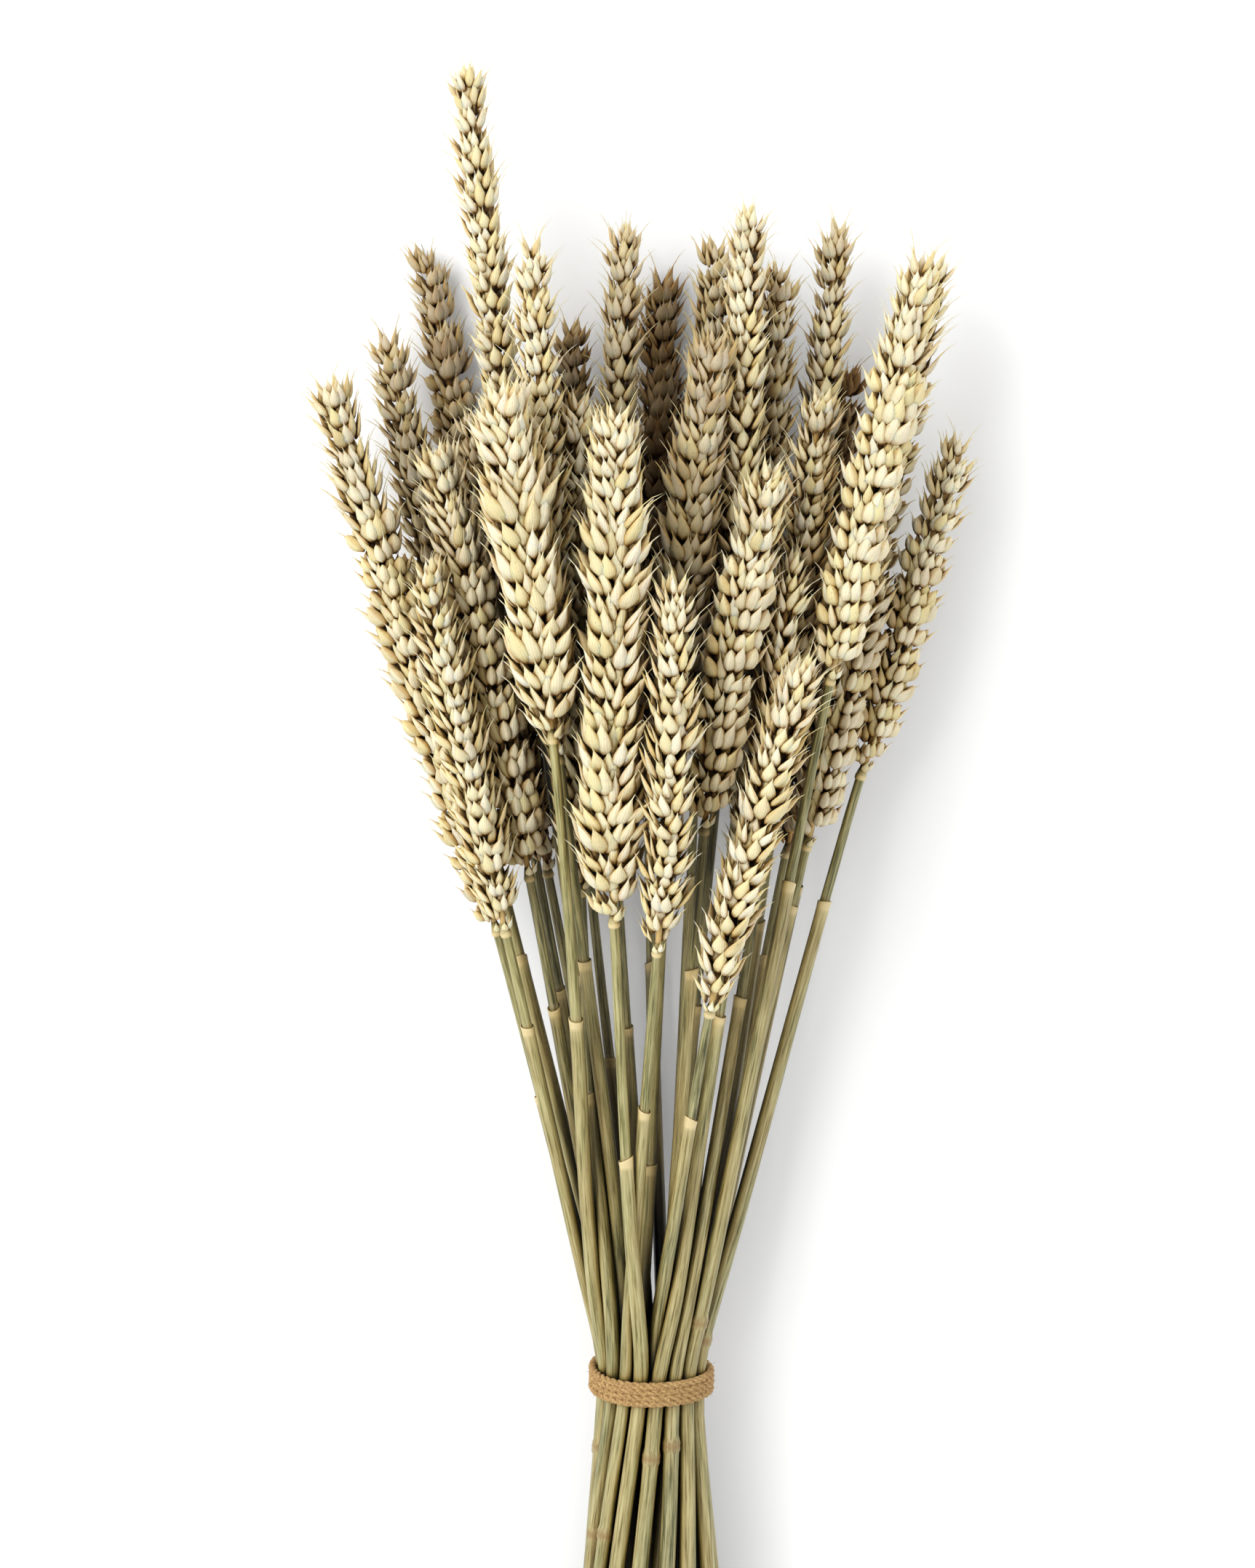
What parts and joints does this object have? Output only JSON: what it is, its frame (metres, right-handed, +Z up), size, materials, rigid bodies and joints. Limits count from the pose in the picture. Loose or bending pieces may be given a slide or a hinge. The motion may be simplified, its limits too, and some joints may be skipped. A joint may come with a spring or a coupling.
{
  "type": "bundle of dried wheat",
  "caption": "Tied bundle of dried wheat stalks with bearded-tip ears, fanned out and lying flat.",
  "frame": {"origin": "centre of the bounding box's bottom face, on the surface that the bundle lies on", "axes": "+Y along the stalks, from the cut ends towards the ears; +Z up from the surface; +X across the fan"},
  "size_m": [0.1618, 0.4442, 0.0818],
  "materials": {
    "straw": "dry, satin, finely striated",
    "husk": "dry, matte, papery",
    "twine": "coarse plant fibre"
  },
  "bodies": {
    "root": {"stem_01": "straw", "ear_01": "husk", "stem_02": "straw", "ear_02": "husk", "stem_03": "straw", "ear_03": "husk", "stem_04": "straw", "ear_04": "husk", "stem_05": "straw", "ear_05": "husk", "stem_06": "straw", "ear_06": "husk", "stem_07": "straw", "ear_07": "husk", "stem_08": "straw", "ear_08": "husk", "stem_09": "straw", "ear_09": "husk", "stem_10": "straw", "ear_10": "husk", "stem_11": "straw", "ear_11": "husk", "stem_12": "straw", "ear_12": "husk", "stem_13": "straw", "ear_13": "husk", "stem_14": "straw", "ear_14": "husk", "stem_15": "straw", "ear_15": "husk", "stem_16": "straw", "ear_16": "husk", "stem_17": "straw", "ear_17": "husk", "stem_18": "straw", "ear_18": "husk", "stem_19": "straw", "ear_19": "husk", "stem_20": "straw", "ear_20": "husk", "stem_21": "straw", "ear_21": "husk", "stem_22": "straw", "ear_22": "husk", "stem_23": "straw", "ear_23": "husk", "stem_24": "straw", "ear_24": "husk", "stem_25": "straw", "ear_25": "husk", "stem_26": "straw", "ear_26": "husk", "stem_27": "straw", "ear_27": "husk", "stem_28": "straw", "ear_28": "husk", "stem_29": "straw", "ear_29": "husk", "twine_tie": "twine"}
  },
  "joints": []
}
